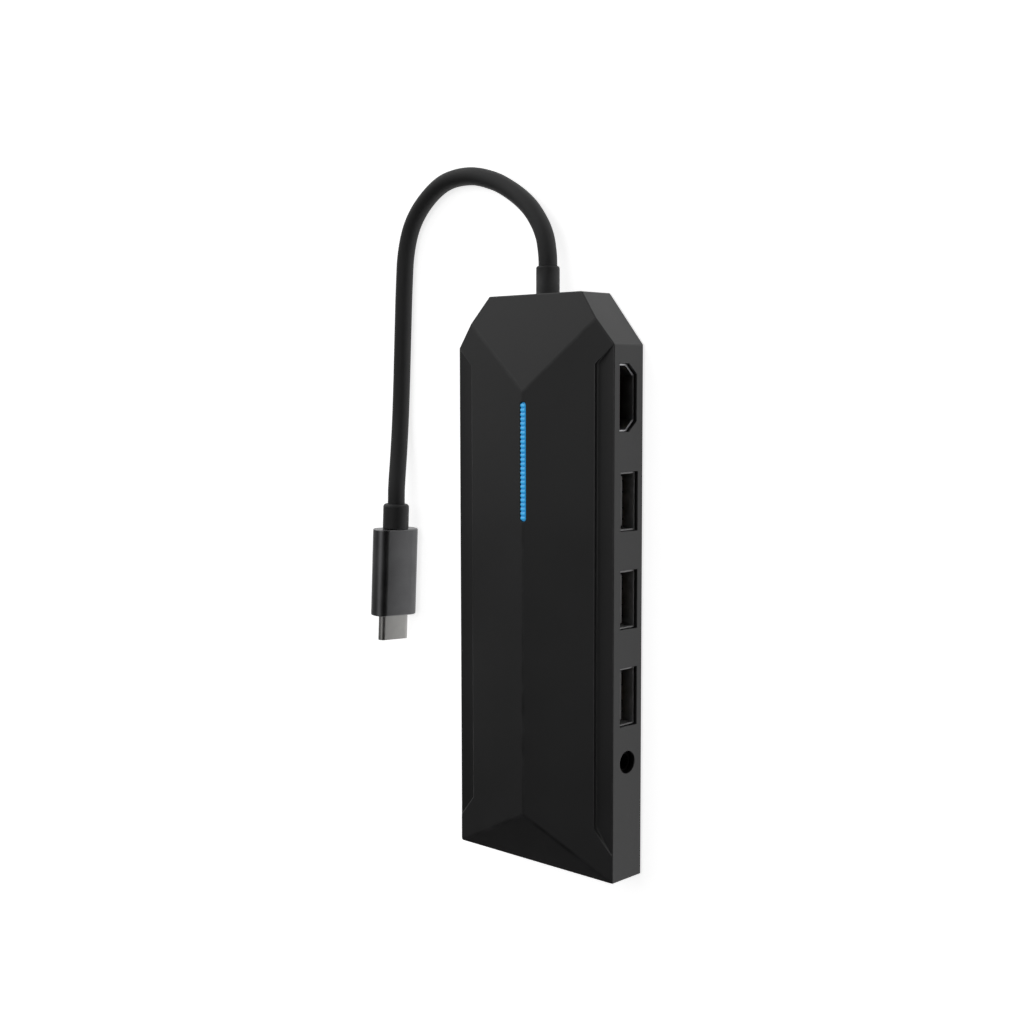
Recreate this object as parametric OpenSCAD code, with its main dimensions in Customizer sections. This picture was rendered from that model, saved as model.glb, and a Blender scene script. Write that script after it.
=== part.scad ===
// Laptop docking station: a slim faceted hub with a row of sockets along one long side,
// a light bar on its ridge and a short captive cord that ends in a USB-C plug.
//
// Frame: X runs across the width, with the sockets on +X. Y runs along the length, with
// the cord leaving at +Y. Z is up from the surface that the hub rests on. The origin is
// on that surface, under the middle of the casing.

/* [Body] */
// Length of the casing
body_length = 133.6; // [130:0.2:145]
// Width of the casing
body_width = 48.6; // [47.6:0.2:54]
// Height of the long side faces, without the feet
side_height = 10.2; // [10.1:0.1:11]
// Height of the end face that the cord leaves through
end_height = 9.8; // [9.8:0.1:10.1]
// Height of the ridge, without the feet
ridge_height = 13.8; // [13.6:0.1:16]
// Length that each cut corner takes off the long side
corner_length = 12; // [8:0.5:12]
// Width that each cut corner takes off the cord end
corner_width = 9.8; // [6:0.2:10]
// Distance from the plain end to the start of the ridge
ridge_start = 12; // [8:0.5:20]
// Distance from the cord end to the end of the ridge
ridge_end = 22.4; // [18:0.2:23]
// Thickness of the casing's walls
wall = 1.6; // [1.4:0.1:1.8]
// Thickness of the casing's roof, measured straight down
roof = 1.5; // [1.3:0.1:1.6]
// How far the feet stand out below the casing
foot_height = 0.8; // [0.5:0.1:1.2]

/* [Side strips] */
// Width of the recessed strip along each long edge
strip_width = 4.9; // [4:0.1:5.5]
// Depth of the step at the strip's inner edge
strip_step = 1.2; // [0.6:0.1:1.3]
// Distance from the plain end to the start of the straight step
strip_start = 12; // [9:0.5:16]
// Distance from the cord end to the end of the straight step
strip_end = 16.2; // [14:0.2:20]
// How far the step's slanting end runs past its start at the plain end
strip_run_out = 5.5; // [3:0.5:7]

/* [Light bar] */
// Length of the light bar
light_length = 27.4; // [20:0.2:28]
// Width of the light bar
light_width = 1.4; // [1.2:0.1:1.8]
// Gap between the bar and its slot
light_gap = 0.2; // [0.1:0.05:0.3]
// Distance from the cord end to the near end of the bar
light_inset = 24.9; // [24:0.1:28]
// Number of beads along the bar
bead_count = 26; // [16:1:30]

/* [Sockets] */
// Distance from the cord end to the middle of the HDMI socket
hdmi_inset = 23.8; // [23.4:0.1:24.4]
// Height of the middle of the HDMI socket above the casing's underside
hdmi_height = 5.2; // [5.1:0.05:5.2]
// Distance from the cord end to the middle of the first USB-A socket
usb_inset = 47; // [46.5:0.1:48]
// Distance between the USB-A sockets
usb_pitch = 22.2; // [20:0.1:22.4]
// Height of the middle of the USB-A sockets above the casing's underside
usb_height = 4.7; // [4.6:0.05:4.9]
// Distance from the cord end to the middle of the audio socket
audio_inset = 106.4; // [106:0.1:108]
// Height of the middle of the audio socket above the casing's underside
audio_height = 5; // [4.9:0.05:5.1]
// How far the sockets' metal mouths lie inside the side face
socket_recess = 0.8; // [0.3:0.1:1]

/* [Cord] */
// Diameter of the cord
cord_diameter = 4.4; // [4:0.1:4.6]
// Diameter of the collar where the cord leaves the casing
collar_diameter = 5.5; // [5.2:0.1:6]
// How far the collar stands out of the casing
collar_length = 6.6; // [5:0.2:8]

/* [Plug] */
// Width of the plug's housing
housing_width = 12.3; // [11.6:0.1:12.4]
// Thickness of the plug's housing
housing_thickness = 6; // [5.8:0.1:6.6]
// Length of the plug's housing
housing_length = 22.6; // [20:0.2:26]
// Corner radius of the plug's housing
housing_corner = 2.8; // [1.5:0.1:2.8]
// Diameter of the sleeve behind the housing
sleeve_diameter = 6.7; // [6:0.1:7.4]
// Length of the sleeve
sleeve_length = 6.5; // [4:0.5:10]
// How far the bright shell stands out of the housing
tip_length = 6.6; // [6.2:0.1:6.8]
// How far the plug leans over from standing on its narrow edge, in degrees
plug_lean = 13; // [0:1:20]
// How far the plug turns away from the casing's long side, in degrees
plug_turn = -3; // [-6:1:0]

/* [Hidden] */
$fn = 48;
gap = 0.05;          // clearance between pieces that are pushed together
cut = 1;             // how far a cutting shape runs past the surface that it cuts

// Levels, from the surface up
plate_thick = 1.4;
board_rise = 1.4;
board_thick = 1;
shoulder = 1.9;
base_z = foot_height;
plate_top = base_z + plate_thick;
board_bottom = plate_top + board_rise;
board_top = board_bottom + board_thick;
side_z = base_z + side_height;
end_z = base_z + end_height;
ridge_z = base_z + ridge_height;
side_ceiling = side_z - shoulder;

// Plan of the casing
half_width = body_width / 2;
half_length = body_length / 2;
corner_y = half_length - corner_length;
ridge_low_y = -half_length + ridge_start;
ridge_high_y = half_length - ridge_end;
inner_half = half_width - wall;
strip_x = half_width - strip_width;
roof_slope = (ridge_z - side_z) / half_width;
plate_gap = 0.15;

// Screws that hold the covers together, one near each corner, with a foot over each
screw_x = 14;
screw_y = 56;
screw_places = [for (x = [-screw_x, screw_x], y = [-screw_y, screw_y]) [x, y]];
screw_length = 7;
screw_run_out = 0.5;
thread_radius = 0.97;
pilot_radius = 1;
shank_gap = 0.15;
post_radius = 2.6;
boss_radius = 3.6;
head_radius = 1.9;
head_height = 0.8;
head_gap = 0.1;
recess_long = 2.2;
recess_wide = 0.45;
recess_deep = 0.45;
pocket_depth = 0.6;
pad_drop = 0.2;
pad_top = board_bottom - pad_drop;
foot_radius = 4.2;
foot_edge = 0.35;

// Pillars that the main board rests on
pillar_places = [for (x = [-18, 5], y = [-26, 16]) [x, y]];
pillar_radius = 1.6;

// Light bar
light_y = half_length - light_inset - light_length / 2;
bead_pitch = (light_length - light_width) / (bead_count - 1);
bead_radius = 0.5;
bead_sink = 0.55;
bead_margin = 0.05;
lens_sink = 0.3;
lens_drop = 0.3;
lens_ledge_top = ridge_z - roof - lens_drop;
lens_ledge = 0.7;
lens_ledge_side = 0.9;
lens_ledge_end = 1;
holder_width = 6;
holder_margin = 2;
holder_slot = 2;
light_board_drop = 2.9;
light_board_top = ridge_z - roof - light_board_drop;
light_board_thick = 0.8;
light_board_low = light_board_top - light_board_thick;
light_board_width = 9;
light_board_end = 7.3;
light_board_length = light_length + 2 * light_board_end;
light_screw_end = 4.8;
light_screw_y = [for (side = [-1, 1]) light_y + side * (light_length / 2 + light_screw_end)];
light_screw_radius = 0.58;
light_screw_length = 1.9;
light_screw_head = 1.3;
light_screw_head_height = 0.6;
light_recess_long = 1.6;
light_recess_wide = 0.35;
light_recess_deep = 0.25;
light_pilot_radius = 0.62;
light_pilot_length = 2.2;
light_hole_radius = 0.8;
light_post_radius = 1.8;
led_count = 9;
led_pitch = light_length / led_count;
led_size = [0.8, 1.6, 0.6];

// Flex from the light board to its socket on the main board
flex_half = 2.5;
flex_thick = 0.25;
flex_start = -2;
flex_bend = -16.5;
flex_drop = 1;
flex_foot_rise = 1;
flex_foot = board_top + flex_foot_rise;
flex_socket_size = [2.4, 7.5, 2];
flex_socket_x = -17.4;
flex_slot = [-17.6, -17.15];
flex_slot_half = 2.6;

// Sockets: the metal mouths lie just inside the side face
mouth_x = half_width - socket_recess;
hdmi_y = half_length - hdmi_inset;
hdmi_z = base_z + hdmi_height;
usb_y = [for (i = [0:2]) half_length - usb_inset - i * usb_pitch];
usb_z = base_z + usb_height;
audio_y = half_length - audio_inset;
audio_z = base_z + audio_height;
cutout_gap = 0.12;
tab_thick = 0.3;
tab_long = 2;

// USB-A receptacle
usb_wide = 13.1;
usb_tall = 5.7;
usb_deep = 14;
usb_sheet = 0.3;
usb_tab_reach = 1.2;
usb_tabs_x = [-11, -4];
usb_spring_y = [-4.6, 1.6];
usb_spring_wide = 3;
usb_spring_x = [-8, -3];
usb_spring_slot = 0.4;
usb_tongue_front = -1.5;
usb_tongue_root = -10;
usb_tongue_low = -0.23;
usb_tongue_high = 1.61;
usb_tongue_half = 5.55;
usb_contacts_y = [-3.5, -1, 1, 3.5];
usb_contact_wide = 1;
usb_contact_thick = 0.15;
usb_contact_front = -2.1;
usb_contact_drop = -14.6;
usb_contact_foot = -15.4;

// HDMI receptacle: the two lower corners are cut away
hdmi_wide = 15;
hdmi_tall = 5.7;
hdmi_deep = 11.5;
hdmi_sheet = 0.35;
hdmi_cut_wide = 2.4;
hdmi_cut_tall = 2.65;
hdmi_tab_reach = 1;
hdmi_tabs_x = [-9.5, -3.5];
hdmi_tongue_front = -2.2;
hdmi_tongue_root = -8.2;
hdmi_tongue_half = 5.6;
hdmi_tongue_thick = 1.2;
hdmi_contact_pitch = 1;
hdmi_contact_wide = 0.4;
hdmi_contact_thick = 0.12;
hdmi_contact_front = -2.8;
hdmi_contact_drop = -12.3;
hdmi_contact_foot = -13;
// Contact rows: first place, number of contacts and side of the tongue
hdmi_rows = [[-4.5, 10, 1], [-4, 9, -1]];

// Audio receptacle for a 3.5 mm plug
audio_bore = 1.8;
audio_nose = 2.5;
audio_hole = 2.6;
audio_wide = 6.2;
audio_tall = 6;
audio_deep = 13;
audio_recess = 1.3;
audio_mouth_x = half_width - audio_recess;
audio_front_x = inner_half - gap;
audio_back_x = audio_front_x - audio_deep;
audio_end_wall = 1;
audio_contact_start = 2.3;
audio_contact_rise = 1.5;
audio_contact_pitch = 2.8;
audio_contact_long = 1.6;
audio_contact_thick = 0.25;
audio_contact_foot = 1.2;

// Main board and what is on it: places are [x, y] and sizes are [wide, long, thick]
board_margin = 0.8;
board_end_margin = 0.6;
notch_side = 0.2;
notch_back = 0.3;
post_gap = 0.3;
hub_chip_place = [-3, -4];
hub_chip_size = [9, 9, 0.9];
video_chip_place = [1, 43];
video_chip_size = [8, 8, 0.9];
audio_chip_place = [1, -42];
audio_chip_size = [5, 5, 0.8];
power_chip_place = [-12, 38];
power_chip_size = [4, 4, 0.8];
crystal_place = [-8, -15];
crystal_size = [3.2, 2.5, 0.7];
port_capacitor_x = 4.5;
port_capacitor_size = [1.6, 3.2, 1.6];
edge_capacitor_places = [for (i = [0:5]) [-18, -50 + 6 * i]];
edge_capacitor_size = [3.2, 1.6, 1.2];
hub_capacitor_places = [for (i = [0:3]) [-7 + 3 * i, -33]];
hub_capacitor_size = [1.2, 2, 0.9];
hub_resistor_places = [for (i = [0:7]) [-8 + 1.8 * i, -24]];
video_resistor_places = [for (i = [0:5]) [-3 + 1.6 * i, 33]];
resistor_size = [0.8, 1.6, 0.45];
inductor_places = [[-7, 30], [-14, 47]];
inductor_side = 4;
inductor_corner = 0.7;
inductor_height = 2;

// Shield over the hub chip, with a soft pad between them
shield_gap = 0.5;
shield_x = [-13, mouth_x + usb_contact_foot - shield_gap];
shield_y = [-29, 21];
shield_sheet = 0.4;
shield_underside = board_top + 2.4;
pad_margin = 1.5;

// Cord: the exit is the collar's mouth
cord_radius = cord_diameter / 2;
cord_rise = 5;
cord_z = base_z + cord_rise;
exit_y = half_length + collar_length;
cord_inner_length = 7.2;
cord_inner_y = half_length - cord_inner_length;
cord_sides = 10;
collar_edge = 0.3;
flange_thick = 2;
flange_gap = 0.1;
flange_y = half_length - wall - flange_thick - flange_gap;
flange_half = 5;
flange_tall = 3.4;
saddle_thick = 1.2;
saddle_y = [for (back = [1.7, 4.2]) flange_y - back];
saddle_gap = 0.1;
wire_count = 5;
wire_radius = 0.4;
wire_inner_pitch = 0.85;
wire_outer_pitch = 2.4;
wire_end_gap = 4.6;
wire_rise = 0.55;
wire_end_y = screw_y - wire_end_gap;
wire_end_z = board_top + wire_rise;

// Plug: its axis stands this far above the surface when it leans on its narrow edge
plug_x = -52.8;
plug_y = 15.4;
plug_clear = 0.02;
plug_z = (housing_width / 2 - housing_corner) * cos(plug_lean)
    + (housing_thickness / 2 - housing_corner) * sin(plug_lean) + housing_corner + plug_clear;
plug_forward = [sin(plug_turn), -cos(plug_turn), 0];
plug_wide = 8.25;
plug_thick = 2.4;
plug_sheet = 0.25;
plug_inside = 7;
plug_slot_wide = 6.9;
plug_slot_thick = 0.85;
plug_slot_deep = 5.6;
plug_contact_count = 12;
plug_contact_pitch = 0.5;
plug_contact_size = [0.12, 4, 0.25];
plug_contact_x = 0.365;
plug_contact_back = 3.4;
plug_board_half = 3.8;
plug_board_thick = 0.8;
plug_board_long = 10;
plug_board_gap = 0.1;
insulator_step = 0.4;
housing_wall = 0.8;
housing_back = -sleeve_length;
housing_front = housing_back - housing_length;
core_step = 0.15;
shell_back = housing_front + plug_inside;
tip_front = housing_front - tip_length;
sleeve_edge = 0.5;
neck_radius = 2.5;
neck_length = 3;
neck_end_gap = 0.2;

// Route of the cord's centre line, from the collar's mouth to the plug's sleeve
route = [
    [0, exit_y, cord_z],
    [-0.3, exit_y + 3.4, 5.7],
    [-1.5, 80.6, 5.3],
    [-4.1, 84.4, 4.6],
    [-8.2, 88.4, 3.8],
    [-14.4, 92.4, 3],
    [-21.3, 95.5, 2.45],
    [-29.5, 97.3, cord_radius],
    [-38, 96.5, cord_radius],
    [-45, 92.6, cord_radius],
    [-50, 87, cord_radius],
    [-52.5, 80, cord_radius],
    [-53.4, 71, cord_radius],
    [-53.9, 62, cord_radius],
    [-54.3, 54, cord_radius],
    [-54.7, 46, cord_radius],
    [-54.9, 37.5, 2.5],
    [-54.2, 29, 3.8],
    [-52.9, 19.5, 5.9],
    [plug_x, plug_y, plug_z]
];

// Shared shapes

// A block between two opposite corners
module block(low, high) {
    translate(low) cube(high - low);
}

// A block centred on a point
module brick(middle, size) {
    translate(middle) cube(size, center = true);
}

// A round bar that runs along X, from one X to another
module bar_x(low, high, y, z, radius) {
    translate([low, y, z]) rotate([0, 90, 0]) cylinder(h = high - low, r = radius);
}

// A round bar that runs along Y, from one Y to another
module bar_y(low, high, x, z, radius) {
    translate([x, high, z]) rotate([90, 0, 0]) cylinder(h = high - low, r = radius);
}

// A round post that stands on a level
module post(place, low, high, radius) {
    translate([place[0], place[1], low]) cylinder(h = high - low, r = radius);
}

// A round rod between two points
module rod(start, end, radius) {
    way = end - start;
    span = norm(way);
    translate(start)
        rotate([0, acos(way[2] / span), atan2(way[1], way[0])])
            cylinder(h = span, r = radius, $fn = 16);
}

// A crossed recess for a screwdriver, sunk upwards into a screw's head
module cross_recess(place, level, long, wide, deep) {
    for (size = [[long, wide, 2 * deep], [wide, long, 2 * deep]])
        brick([place[0], place[1], level], size);
}

// A rectangle with round corners
module round_rectangle(wide, tall, radius) {
    union() {
        square([wide - 2 * radius, tall], center = true);
        square([wide, tall - 2 * radius], center = true);
        for (x = [-1, 1], y = [-1, 1])
            translate([x * (wide / 2 - radius), y * (tall / 2 - radius)]) circle(r = radius);
    }
}

// A slot shape with two half-round ends
module stadium(long, wide) {
    union() {
        square([long - wide, wide], center = true);
        for (x = [-1, 1]) translate([x * (long - wide) / 2, 0]) circle(d = wide);
    }
}

// A flat shape in X and Z, pulled along Y between two places
module along_y(low, high) {
    translate([0, high, 0]) rotate([90, 0, 0]) linear_extrude(height = high - low) children();
}

// A flat shape in Y and Z, pulled along X between two places
module along_x(low, high) {
    translate([low, 0, 0]) rotate([90, 0, 90]) linear_extrude(height = high - low) children();
}

// Plan of the casing, moved inwards by inset: a rectangle with two cut corners
function corner_reach(inset) = corner_length * half_width + corner_width * corner_y
    - inset * norm([corner_length, corner_width]);
function plan(inset) = let (
        x = half_width - inset,
        y = half_length - inset,
        reach = corner_reach(inset),
        side_end = (reach - corner_length * x) / corner_width,
        end_half = (reach - corner_width * y) / corner_length
    ) [[x, -y], [x, side_end], [end_half, y], [-end_half, y], [-x, side_end], [-x, -y]];

// The casing as a solid lump: plan, roof section and side profile, crossed
module casing_lump() {
    intersection() {
        translate([0, 0, base_z]) linear_extrude(height = ridge_height) polygon(plan(0));
        along_y(-half_length, half_length)
            polygon([[-half_width, 0], [half_width, 0], [half_width, side_z],
                [0, ridge_z], [-half_width, side_z]]);
        along_x(-half_width, half_width)
            polygon([[-half_length, 0], [half_length, 0], [half_length, end_z],
                [ridge_high_y, ridge_z], [ridge_low_y, ridge_z], [-half_length, side_z]]);
    }
}

// The room inside the casing, open at the bottom
module casing_room() {
    shelf_x = strip_x - wall;
    shelf_z = ridge_z - roof - roof_slope * shelf_x;
    intersection() {
        translate([0, 0, base_z - cut]) linear_extrude(height = ridge_height) polygon(plan(wall));
        along_y(-half_length, half_length)
            polygon([[-half_width, base_z - cut], [half_width, base_z - cut],
                [half_width, side_ceiling], [shelf_x, side_ceiling], [shelf_x, shelf_z],
                [0, ridge_z - roof], [-shelf_x, shelf_z], [-shelf_x, side_ceiling],
                [-half_width, side_ceiling]]);
        along_x(-half_width, half_width)
            polygon([[-half_length, base_z - cut], [half_length, base_z - cut],
                [half_length, end_z - roof], [ridge_high_y, ridge_z - roof],
                [ridge_low_y, ridge_z - roof], [-half_length, side_z - roof]]);
    }
}

// What the recessed strip takes off the roof along the +X edge
module strip_recess() {
    inner_z = side_z + roof_slope * strip_width - strip_step;
    low_y = -half_length + strip_start;
    high_y = half_length - strip_end;
    intersection() {
        along_y(-half_length, half_length)
            polygon([[strip_x, inner_z], [half_width + strip_width, 2 * side_z - inner_z],
                [half_width + strip_width, ridge_z + cut], [strip_x, ridge_z + cut]]);
        translate([0, 0, base_z]) linear_extrude(height = ridge_height + cut)
            polygon([[strip_x, low_y], [half_width, low_y - strip_run_out],
                [half_width + strip_width, low_y - strip_run_out],
                [half_width + strip_width, corner_y], [half_width, corner_y],
                [strip_x, high_y]]);
    }
}

// Section of the HDMI socket, made larger by grow on every side
module hdmi_section(grow) {
    wide = hdmi_wide / 2 + grow;
    tall = hdmi_tall / 2 + grow;
    polygon([[-wide, tall], [wide, tall], [wide, -tall + hdmi_cut_tall],
        [wide - hdmi_cut_wide, -tall], [-wide + hdmi_cut_wide, -tall],
        [-wide, -tall + hdmi_cut_tall]]);
}

// Openings for the sockets in the side wall
module socket_cutouts() {
    for (y = usb_y)
        brick([half_width, y, usb_z],
            [2 * (wall + gap), usb_wide + 2 * cutout_gap, usb_tall + 2 * cutout_gap]);
    translate([0, hdmi_y, hdmi_z])
        along_x(inner_half - gap, half_width + cut) hdmi_section(cutout_gap);
    bar_x(inner_half - gap, half_width + cut, audio_y, audio_z, audio_hole);
}

// Casing

module top_cover() {
    color([0.10, 0.10, 0.11])
    difference() {
        union() {
            difference() {
                casing_lump();
                casing_room();
            }
            intersection() {
                casing_lump();
                union() {
                    for (place = screw_places) post(place, pad_top, ridge_z, post_radius);
                    for (y = light_screw_y) post([0, y], light_board_top, ridge_z, light_post_radius);
                }
            }
        }
        strip_recess();
        mirror([1, 0, 0]) strip_recess();
        translate([0, light_y, ridge_z - roof - cut]) rotate(90)
            linear_extrude(height = roof + 2 * cut)
                stadium(light_length + 2 * light_gap, light_width + 2 * light_gap);
        socket_cutouts();
        bar_y(half_length - wall - cut, half_length + cut, 0, cord_z, collar_diameter / 2 + gap);
        for (place = screw_places)
            post(place, pad_top - cut, pad_top + screw_length, pilot_radius);
        for (y = light_screw_y)
            post([0, y], light_board_top - cut, light_board_top + light_pilot_length,
                light_pilot_radius);
    }
}

module bottom_cover() {
    head_top = base_z + pocket_depth + head_height;
    color([0.09, 0.09, 0.10])
    difference() {
        union() {
            translate([0, 0, base_z]) linear_extrude(height = plate_thick)
                polygon(plan(wall + plate_gap));
            for (place = screw_places) post(place, base_z, pad_top, boss_radius);
            for (place = pillar_places) post(place, base_z, board_bottom, pillar_radius);
            for (y = saddle_y)
                block([-flange_half, y, base_z], [flange_half, y + saddle_thick, cord_z]);
        }
        bar_y(saddle_y[1] - cut, flange_y, 0, cord_z, cord_radius + saddle_gap);
        for (place = screw_places) {
            post(place, base_z - cut, base_z + pocket_depth, foot_radius + head_gap);
            post(place, base_z - cut, head_top + gap, head_radius + head_gap);
            post(place, base_z - cut, pad_top + cut, thread_radius + shank_gap);
        }
    }
}

module cover_screws() {
    head_low = base_z + pocket_depth;
    color([0.45, 0.45, 0.47])
    for (place = screw_places)
        difference() {
            union() {
                post(place, head_low, head_low + head_height, head_radius);
                post(place, head_low, pad_top + screw_length - screw_run_out, thread_radius);
            }
            cross_recess(place, head_low, recess_long, recess_wide, recess_deep);
        }
}

module rubber_feet() {
    foot_top = base_z + pocket_depth - gap;
    color([0.14, 0.14, 0.14])
    for (place = screw_places)
        translate([place[0], place[1], 0])
            rotate_extrude()
                polygon([[0, 0], [foot_radius - foot_edge, 0], [foot_radius, foot_edge],
                    [foot_radius, foot_top], [0, foot_top]]);
}

// Light bar

module light_lens() {
    first = light_y - light_length / 2 + light_width / 2;
    half = light_width / 2 - bead_margin;
    color([0.20, 0.62, 0.93])
    union() {
        translate([0, light_y, lens_ledge_top - gap]) rotate(90)
            linear_extrude(height = ridge_z - lens_ledge_top - lens_sink)
                stadium(light_length, light_width);
        translate([0, light_y, lens_ledge_top - lens_ledge]) rotate(90)
            linear_extrude(height = lens_ledge)
                stadium(light_length + 2 * lens_ledge_end, light_width + 2 * lens_ledge_side);
        for (i = [0:bead_count - 1])
            bar_x(-half, half, first + i * bead_pitch, ridge_z - bead_sink, bead_radius);
    }
}

module light_holder() {
    color([0.08, 0.08, 0.08])
    difference() {
        translate([0, light_y, light_board_top])
            linear_extrude(height = lens_ledge_top - lens_ledge - light_board_top)
                square([holder_width, light_length + 2 * holder_margin], center = true);
        translate([0, light_y, light_board_top - cut]) rotate(90)
            linear_extrude(height = 2 * cut + roof) stadium(light_length, holder_slot);
    }
}

module leds() {
    color([0.92, 0.92, 0.85])
    for (i = [0:led_count - 1])
        brick([0, light_y + (i - (led_count - 1) / 2) * led_pitch, light_board_top + led_size[2] / 2],
            led_size);
}

module light_board() {
    color([0.07, 0.20, 0.13])
    difference() {
        brick([0, light_y, light_board_top - light_board_thick / 2],
            [light_board_width, light_board_length, light_board_thick]);
        for (y = light_screw_y)
            post([0, y], light_board_low - cut, light_board_top + cut, light_hole_radius);
    }
}

module light_board_screws() {
    head_low = light_board_low - light_screw_head_height;
    color([0.55, 0.55, 0.57])
    for (y = light_screw_y)
        difference() {
            union() {
                post([0, y], head_low, light_board_low, light_screw_head);
                post([0, y], light_board_low - gap, light_board_top + light_screw_length,
                    light_screw_radius);
            }
            cross_recess([0, y], head_low, light_recess_long, light_recess_wide, light_recess_deep);
        }
}

// The flex runs out from under the light board and bends down into its socket
module light_flex() {
    outer = flex_bend - flex_drop;
    color([0.75, 0.45, 0.15])
    along_y(light_y - flex_half, light_y + flex_half)
        polygon([[flex_start, light_board_low], [flex_bend, light_board_low],
            [outer, light_board_low - flex_drop], [outer, flex_foot],
            [outer + flex_thick, flex_foot],
            [outer + flex_thick, light_board_low - flex_drop - flex_thick / 2],
            [flex_bend + flex_thick / 2, light_board_low - flex_thick],
            [flex_start, light_board_low - flex_thick]]);
}

module flex_socket() {
    color([0.85, 0.83, 0.78])
    difference() {
        brick([flex_socket_x, light_y, board_top + flex_socket_size[2] / 2], flex_socket_size);
        block([flex_slot[0], light_y - flex_slot_half, flex_foot],
            [flex_slot[1], light_y + flex_slot_half, flex_foot + flex_socket_size[2]]);
    }
}

// Main board and what is on it

// Room in the board for a receptacle that sits in its edge
module board_notch(y, back_x, wide) {
    block([back_x - notch_back, y - wide / 2 - notch_side, board_bottom - cut],
        [half_width, y + wide / 2 + notch_side, board_top + cut]);
}

module main_board() {
    board_half = inner_half - board_margin;
    color([0.06, 0.22, 0.14])
    difference() {
        block([-board_half, -half_length + wall + board_end_margin, board_bottom],
            [board_half, screw_y - post_radius - board_end_margin, board_top]);
        board_notch(hdmi_y, mouth_x - hdmi_deep, hdmi_wide);
        for (y = usb_y) board_notch(y, mouth_x - usb_deep, usb_wide);
        board_notch(audio_y, audio_back_x, audio_wide);
        for (place = screw_places)
            post(place, board_bottom - cut, board_top + cut, post_radius + post_gap);
    }
}

// A chip that lies on the board
module chip(place, size) {
    brick([place[0], place[1], board_top + size[2] / 2], size);
}

module hub_chip() {
    color([0.07, 0.07, 0.08]) chip(hub_chip_place, hub_chip_size);
}

module video_chip() {
    color([0.07, 0.07, 0.08]) chip(video_chip_place, video_chip_size);
}

module audio_chip() {
    color([0.07, 0.07, 0.08]) chip(audio_chip_place, audio_chip_size);
}

module power_chip() {
    color([0.07, 0.07, 0.08]) chip(power_chip_place, power_chip_size);
}

module crystal() {
    color([0.78, 0.78, 0.76]) chip(crystal_place, crystal_size);
}

module capacitors() {
    color([0.62, 0.50, 0.34]) {
        for (y = usb_y) chip([port_capacitor_x, y], port_capacitor_size);
        for (place = edge_capacitor_places) chip(place, edge_capacitor_size);
        for (place = hub_capacitor_places) chip(place, hub_capacitor_size);
    }
}

module resistors() {
    color([0.10, 0.10, 0.11]) {
        for (place = hub_resistor_places) chip(place, resistor_size);
        for (place = video_resistor_places) chip(place, resistor_size);
    }
}

module inductors() {
    color([0.20, 0.20, 0.21])
    for (place = inductor_places)
        translate([place[0], place[1], board_top]) linear_extrude(height = inductor_height)
            round_rectangle(inductor_side, inductor_side, inductor_corner);
}

module thermal_pad() {
    half = hub_chip_size[0] / 2 + pad_margin;
    color([0.45, 0.60, 0.72])
    block([hub_chip_place[0] - half, hub_chip_place[1] - half, board_top + hub_chip_size[2]],
        [hub_chip_place[0] + half, hub_chip_place[1] + half, shield_underside]);
}

// A folded metal cover that stands on the board over the hub chip
module shield_cover() {
    color([0.72, 0.73, 0.75])
    difference() {
        block([shield_x[0], shield_y[0], board_top],
            [shield_x[1], shield_y[1], shield_underside + shield_sheet]);
        block([shield_x[0] + shield_sheet, shield_y[0] - cut, board_top - cut],
            [shield_x[1] - shield_sheet, shield_y[1] + cut, shield_underside]);
    }
}

// Sockets: each is drawn from its mouth, with X running out of the mouth

// Solder tabs that hold a socket to the board, reaching out past its sides
module solder_tabs(places_x, half, low) {
    for (x = places_x) block([x, -half, low], [x + tab_long, half, low + tab_thick]);
}

module at_usb(number) {
    translate([mouth_x, usb_y[number], usb_z]) children();
}

// Slots that cut a spring free on three sides from a sheet above or below the tongue
module spring_slots(y, z) {
    end_x = usb_spring_x[1] - usb_spring_slot;
    top = z + usb_sheet + cut;
    far_y = y + usb_spring_wide;
    for (side = [y, far_y - usb_spring_slot])
        block([usb_spring_x[0], side, z], [usb_spring_x[1], side + usb_spring_slot, top]);
    block([end_x, y, z], [usb_spring_x[1], far_y, top]);
}

module usb_shell(number) {
    half = usb_wide / 2;
    tall = usb_tall / 2;
    color([0.66, 0.66, 0.67]) at_usb(number)
    difference() {
        union() {
            block([-usb_deep, -half, -tall], [0, half, tall]);
            solder_tabs(usb_tabs_x, half + usb_tab_reach, board_top - usb_z);
        }
        block([-usb_deep - cut, -half + usb_sheet, -tall + usb_sheet],
            [cut, half - usb_sheet, tall - usb_sheet]);
        for (y = usb_spring_y, z = [-tall - cut, tall - usb_sheet - gap]) spring_slots(y, z);
    }
}

module usb_tongue(number) {
    half = usb_wide / 2 - usb_sheet - gap;
    tall = usb_tall / 2 - usb_sheet - gap;
    groove = usb_contact_wide / 2 + gap;
    color([0.07, 0.07, 0.08]) at_usb(number)
    difference() {
        union() {
            block([-usb_deep, -half, -tall], [usb_tongue_root, half, tall]);
            block([usb_tongue_root - cut, -usb_tongue_half, usb_tongue_low],
                [usb_tongue_front, usb_tongue_half, usb_tongue_high]);
        }
        for (y = usb_contacts_y)
            block([-usb_deep - cut, y - groove, usb_tongue_low - usb_contact_thick - gap],
                [usb_tongue_root + cut, y + groove, usb_tongue_low]);
    }
}

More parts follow.
